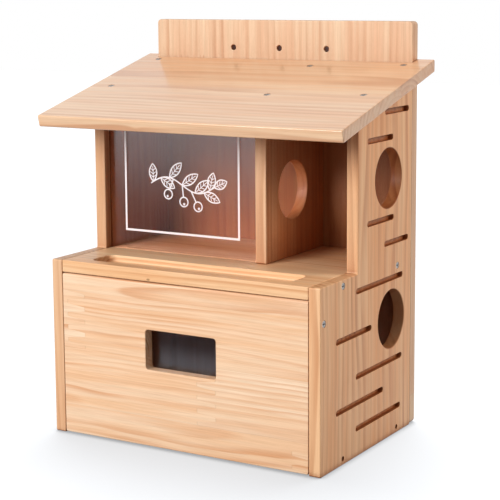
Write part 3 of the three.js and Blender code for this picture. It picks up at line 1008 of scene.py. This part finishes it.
window_outline = rectangle(
    -window_width / 2, window_sill, window_width / 2, window_sill + window_height, window_corner_radius, 8,
)
front_panel = board(
    "front_panel_pine", rectangle(-half_panel, panel_ground_gap, half_panel, panel_top),
    facing_front, board_thickness, [window_outline],
)
cheek_low = panel_ground_gap - overrun
cheek_outline = rounded(square(0.0, cheek_low, board_thickness, panel_top), panel_top_radius, 8)
cheek_rings = [(0.0, 0.0), (0.0, overall_width)]
cut(front_panel, [slab("cheek_cutter", cheek_outline, cheek_rings, facing_right, -half_width)], "INTERSECT")
front_pine = pine(
    "front_finish", (WIDTH, HEIGHT, DEPTH), (0.0, board_thickness / 2, 0.0), seed=4769.0,
    light=(249, 218, 186), dark=(216, 149, 100), warm=(240, 189, 144), contrast=0.8,
    blocks=dict(
        stave_width=72.0, stave_shift=front_stave_edge, block_length=400.0,
        joint_shift=front_joint_across, finger_length=26.0, finger_pitch=16.0,
    ),
    rings=dict(ring_spacing=5.6, waviness=8.0, pith_aside=30.0, pith_below=34.0),
    hollows=dict(strength=0.2),
)
finish(front_panel, front_pine, "swing_panel", "front_panel", slot="pine_front")


# Window pane
# A clear acrylic pane behind the window, a little larger than it, held from inside by four
# small round-head screws. The closed chamber behind it is dark, so it looks nearly black.

window_pane_lap, window_pane_thickness = 10.0, 3.0
window_pane_back = board_thickness + window_pane_thickness
half_pane = window_width / 2 + window_pane_lap
window_tint, window_roughness = (208, 204, 220), 0.09
window_haze_heights, window_haze_weights = (104.0, 132.0), (0.38, 0.0)

pane_outline = rectangle(
    -half_pane, window_sill - window_pane_lap,
    half_pane, window_sill + window_height + window_pane_lap, window_corner_radius, 6,
)
window_pane = board(
    "window_pane_acrylic", pane_outline, facing_front, window_pane_back,
    thickness=window_pane_thickness, ease=pane_edge_ease, steps=2,
)
window_acrylic = acrylic(
    "window_acrylic", window_tint, window_roughness, window_haze_heights, window_haze_weights,
)
finish(window_pane, window_acrylic, "swing_panel", "window_pane", slot="window_acrylic")


# Screws
# Countersunk zinc-plated wood screws hold the boards, and thinner ones, sunk deeper, hold the
# bottom board. Each has a cross recess and a thread, and stands in its own drilled hole.

screw_length, screw_sink, head_rim, rim_bevel = 30.0, 0.3, 0.5, 0.12
head_radius, shank_radius = 4.0, 2.0
slim_head_radius, slim_shank_radius, slim_sink = 2.8, 1.6, 2.0
window_screw_length, window_screw_head_radius, window_screw_head_height = 10.0, 2.8, 1.6
window_screw_shank_radius = 1.4
thread_pitch, thread_rise = 1.8, 0.28
recess_arm_share, recess_width_share, recess_depth_share, recess_taper_share = 0.66, 0.17, 0.6, 0.6
lathe_segments, dome_turns = 28, (0.0, 0.5, 0.95, 1.25)
side_screw_depth_shares = (0.233, 0.838)
roof_side_insets, roof_partition_insets = (28.0, 10.0), (17.0, 22.0)
back_side_height_shares, back_partition_height_shares = (0.1, 0.5, 0.86), (0.2, 0.85)


def lathe(profile):
    """A closed solid of revolution about Z from (radius, height) points that start and end at 0."""
    mesh = bmesh.new()
    low = mesh.verts.new((0, 0, profile[0][1]))
    high = mesh.verts.new((0, 0, profile[-1][1]))
    turns = [2 * pi * index / lathe_segments for index in range(lathe_segments)]
    rows = []
    for radius, height in profile[1:-1]:
        rows.append([mesh.verts.new((radius * cos(turn), radius * sin(turn), height)) for turn in turns])
    for index in range(lathe_segments):
        other = (index + 1) % lathe_segments
        mesh.faces.new((low, rows[0][other], rows[0][index]))
        mesh.faces.new((high, rows[-1][index], rows[-1][other]))
        for lower, upper in zip(rows[:-1], rows[1:]):
            mesh.faces.new((lower[index], lower[other], upper[other], upper[index]))
    bmesh.ops.recalc_face_normals(mesh, faces=mesh.faces)
    return mesh


def shank_profile(length, radius, top):
    """A point, then the thread's crests and roots, then a plain neck up to the head."""
    root = radius - thread_rise
    tip = 2 * radius
    points = [(0.0, -length), (root, -length + tip)]
    height = -length + tip + thread_pitch / 2
    while height < top - 2 * thread_pitch:
        points += [(radius, height), (root, height + thread_pitch / 2)]
        height += thread_pitch
    return points + [(root, top)]


def screw_mesh(length, radius, shank, dome):
    """A screw that points down, with the top of its countersunk head at the origin.

    A screw with a dome has a round head instead, with its underside there.
    """
    if dome:
        rounding = [(radius * cos(turn), dome * sin(turn)) for turn in dome_turns]
        return lathe(shank_profile(length, shank, 0.0) + rounding + [(0.0, dome)])
    rim = [(radius, -head_rim), (radius, -rim_bevel), (radius - rim_bevel, 0.0), (0.0, 0.0)]
    return lathe(shank_profile(length, shank, -(head_rim + radius - shank)) + rim)


def hole_mesh(length, radius, shank, dome):
    """The drilled hole that a screw stands in, countersunk for a flat head and open above it."""
    wide = shank + seat_gap
    point = (0.0, -length - seat_gap)
    if dome:
        return lathe([point, (wide, -length + wide), (wide, overrun), (0.0, overrun)])
    return lathe([
        point, (wide, -length + 2 * shank), (wide, -(head_rim + radius - shank)),
        (radius + seat_gap, -head_rim), (radius + seat_gap, overrun), (0.0, overrun),
    ])


def cross_recess(radius, top):
    """Two crossed blades that narrow downwards, cut into a screw's head."""
    arm, half_blade, depth = (
        radius * share for share in (recess_arm_share, recess_width_share, recess_depth_share)
    )
    quarter = [Vector((half_blade, half_blade)), Vector((half_blade, arm)), Vector((-half_blade, arm))]
    outline = [Matrix.Rotation(pi / 2 * turn, 2) @ point for turn in range(4) for point in quarter]
    taper = half_blade * recess_taper_share
    return solid_from_rings(outline, [], [(taper, top - depth), (0.0, top), (0.0, top + overrun)])


def turned_mesh(mesh, head_place, outward):
    """Moves a mesh that faces up at the origin to a head's place, facing outward."""
    turn = Vector((0, 0, 1)).rotation_difference(outward).to_matrix().to_4x4()
    bmesh.ops.transform(mesh, matrix=Matrix.Translation(head_place) @ turn, verts=mesh.verts)
    return mesh


def smooth(piece, crease=40):
    """Shades the eased edges smoothly and keeps the flat faces flat."""
    piece.data.shade_smooth()
    piece.data.set_sharp_from_angle(angle=radians(crease))
    step = piece.modifiers.new("even light", "WEIGHTED_NORMAL")
    step.keep_sharp = True
    step.weight = 100


zinc, zinc_tree, zinc_shader = new_material("zinc_plate")
zinc_cloud = noise(scaled(put("TexCoord", tree=zinc_tree)["Object"], 1100, 1100, 1100), 3.0)
wire(zinc_shader, {
    "Base Color": blend(zinc_cloud, paint(128, 125, 122), paint(196, 193, 190)),
    "Metallic": 1.0,
    "Roughness": between(zinc_cloud, 0.3, 0.7, 0.28, 0.46),
})
off_roof = Vector((0, -sin(roof_slope), cos(roof_slope)))
to_left, to_right, to_back = Vector((-1, 0, 0)), Vector((1, 0, 0)), Vector((0, 1, 0))
stout = (screw_length, head_radius, shank_radius, 0.0)
slim = (screw_length, slim_head_radius, slim_shank_radius, 0.0)
small_round = (
    window_screw_length, window_screw_head_radius, window_screw_shank_radius, window_screw_head_height,
)
holes = bmesh.new()


def drive(name, place, outward, kind=stout, sink=screw_sink, body="box"):
    """Makes a screw whose head is sunk a little below a place, and adds its hole to the others."""
    length, radius, shank, dome = kind
    head = Vector(place) - outward * sink
    screw = new_piece(f"{name}_zinc", turned_mesh(screw_mesh(*kind), head, outward))
    cut(screw, [new_piece("recess_cutter", turned_mesh(cross_recess(radius, dome), head, outward))])
    smooth(screw, 35)
    finish(screw, zinc, body, name, slot="zinc_steel")
    hole = turned_mesh(hole_mesh(*kind), head, outward)
    hole_data = bpy.data.meshes.new("hole")
    hole.to_mesh(hole_data)
    hole.free()
    holes.from_mesh(hole_data)


for side, outward in (("left", to_left), ("right", to_right)):
    face = half_width * outward.x
    for end, share in zip(("front", "back"), side_screw_depth_shares):
        depth = side_depth * share
        drive(f"{side}_shelf_screw_{end}", (face, depth, ledge_height - board_thickness / 2), outward)
        drive(f"{side}_bottom_screw_{end}", (face, depth, board_thickness / 2), outward, slim, slim_sink)
    drive(f"pivot_screw_{side}", (face, pivot_depth, pivot_height), outward, body="swing_panel")

side_heights = [share * underside_of_roof(side_depth) for share in back_side_height_shares]
partition_heights = [ledge_height + share * bay_height for share in back_partition_height_shares]
uprights = (
    ("left", -side_middle, roof_side_insets, side_heights),
    ("partition", partition_middle, roof_partition_insets, partition_heights),
    ("right", side_middle, roof_side_insets, side_heights),
)
for name, across, (front_inset, back_inset), _ in uprights:
    for end, depth in (("front", upper_setback + front_inset), ("back", side_depth - back_inset)):
        drive(f"roof_screw_{name}_{end}", (across, depth, top_of_roof(depth)), off_roof)
for name, across, _, heights in uprights:
    for number, height in enumerate(heights, 1):
        drive(f"back_screw_{name}_{number}", (across, overall_depth, height), to_back)

half_across = (window_width + window_pane_lap) / 2
half_up = (window_height + window_pane_lap) / 2
for number, corner in enumerate(square(-half_across, -half_up, half_across, half_up), 1):
    place = (corner.x, window_pane_back, window_sill + window_height / 2 + corner.y)
    drive(f"window_screw_{number}", place, to_back, small_round, -seat_gap, "swing_panel")
hole_cutter = new_piece("hole_cutter", holes)

for piece in (
    bottom_board, left_side, right_side, shelf, partition, backboard, roof, front_panel, window_pane,
):
    cut(piece, [in_scene("hole_cutter_copy", hole_cutter.data)])
    smooth(piece)
bpy.data.objects.remove(hole_cutter)


# Floor and light
# A white studio sweep under a large soft lamp at the front left, with a white surround.
# The lamps light the box alone, and a broad sun gives the floor its soft shadow. Right next to
# the box the floor's glow is dimmed by occlusion: a painted contact shadow.

floor_half_size, floor_drop = 6000.0, 0.2
floor_glow, contact_reach, contact_glow_share = 0.7, 0.012, 0.6
surround_strength = 0.34


def seen(tree):
    """1 for what is seen straight, mirrored or through glass, and 0 for light that bounces on."""
    path = put("LightPath", tree=tree)
    return larger(path["Is Camera Ray"], larger(path["Is Glossy Ray"], path["Is Transmission Ray"]))


floor_mesh = bmesh.new()
bmesh.ops.create_grid(floor_mesh, x_segments=8, y_segments=8, size=floor_half_size)
bmesh.ops.translate(floor_mesh, verts=floor_mesh.verts, vec=(0, 0, -floor_drop))
studio_floor = new_piece("studio_floor", floor_mesh)
floor_paper, floor_tree, floor_shader = new_material("floor_paper")
floor_seen = seen(floor_tree)
# Next to the box the floor's glow is dimmed by occlusion: a painted contact shadow.
near_box = put("AmbientOcclusion", {"Distance": contact_reach}, floor_tree, samples=8)["AO"]
glow = times(between(near_box, 0.4, 0.95, contact_glow_share, 1.0), floor_glow)
wire(floor_shader, {
    "Base Color": blend(floor_seen, paint(66, 66, 66), paint(88, 90, 92)),
    "Roughness": 0.9,
    "Specular IOR Level": 0.1,
    "Emission Color": (1.0, 1.01, 1.03, 1),
    "Emission Strength": times(floor_seen, glow),
})
studio_floor.data.materials.append(floor_paper)
studio_floor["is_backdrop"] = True

surround = bpy.data.worlds.new("surround")
surround.use_nodes = True
surround_strengths = between(seen(surround.node_tree), 0.0, 1.0, surround_strength, 1.0)
wire(surround.node_tree.nodes["Background"], {"Color": (1, 1, 1, 1), "Strength": surround_strengths})
bpy.context.scene.world = surround

all_but_floor = bpy.data.collections.new("off_the_floor")
all_but_floor.objects.link(studio_floor)
all_but_floor.collection_objects[0].light_linking.link_state = "EXCLUDE"
floor_alone = bpy.data.collections.new("only_the_floor")
floor_alone.objects.link(studio_floor)


def soft_lamp(name, place, aim_height, size, power, colour=(1.0, 1.0, 1.0), mirrored=True):
    """A round lamp that lights the box and not the floor, and may show in reflections."""
    lamp = in_scene(name, bpy.data.lights.new(name, "AREA"))
    lamp.data.shape = "DISK"
    lamp.data.size = size
    lamp.data.energy = power
    lamp.data.color = colour
    lamp.visible_glossy = mirrored
    lamp.location = Vector(place)
    lamp.rotation_euler = (Vector(place) - Vector((0, 0, aim_height))).to_track_quat("Z", "Y").to_euler()
    lamp.light_linking.receiver_collection = all_but_floor


soft_lamp("front_lamp", place=(-1.9, -5.3, 2.45), aim_height=0.2, size=3.4, power=345)
soft_lamp(
    "right_lamp", place=(2.3, 1.2, 1.5), aim_height=0.25, size=1.4, power=38, colour=(1.0, 0.87, 0.76),
    mirrored=False,
)
soft_lamp("rear_lamp", place=(-1.6, 2.4, 0.5), aim_height=0.25, size=1.4, power=30, mirrored=False)

sun_power, sun_spread, towards_sun = 11.4, radians(42), Vector((-0.13, 0.32, 0.93))
shadow_sun = in_scene("shadow_sun", bpy.data.lights.new("shadow_sun", "SUN"))
shadow_sun.data.energy = sun_power
shadow_sun.data.angle = sun_spread
shadow_sun.rotation_euler = towards_sun.to_track_quat("Z", "Y").to_euler()
shadow_sun.light_linking.receiver_collection = floor_alone

bpy.context.scene.view_settings.view_transform = "Standard"

visual_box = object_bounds()
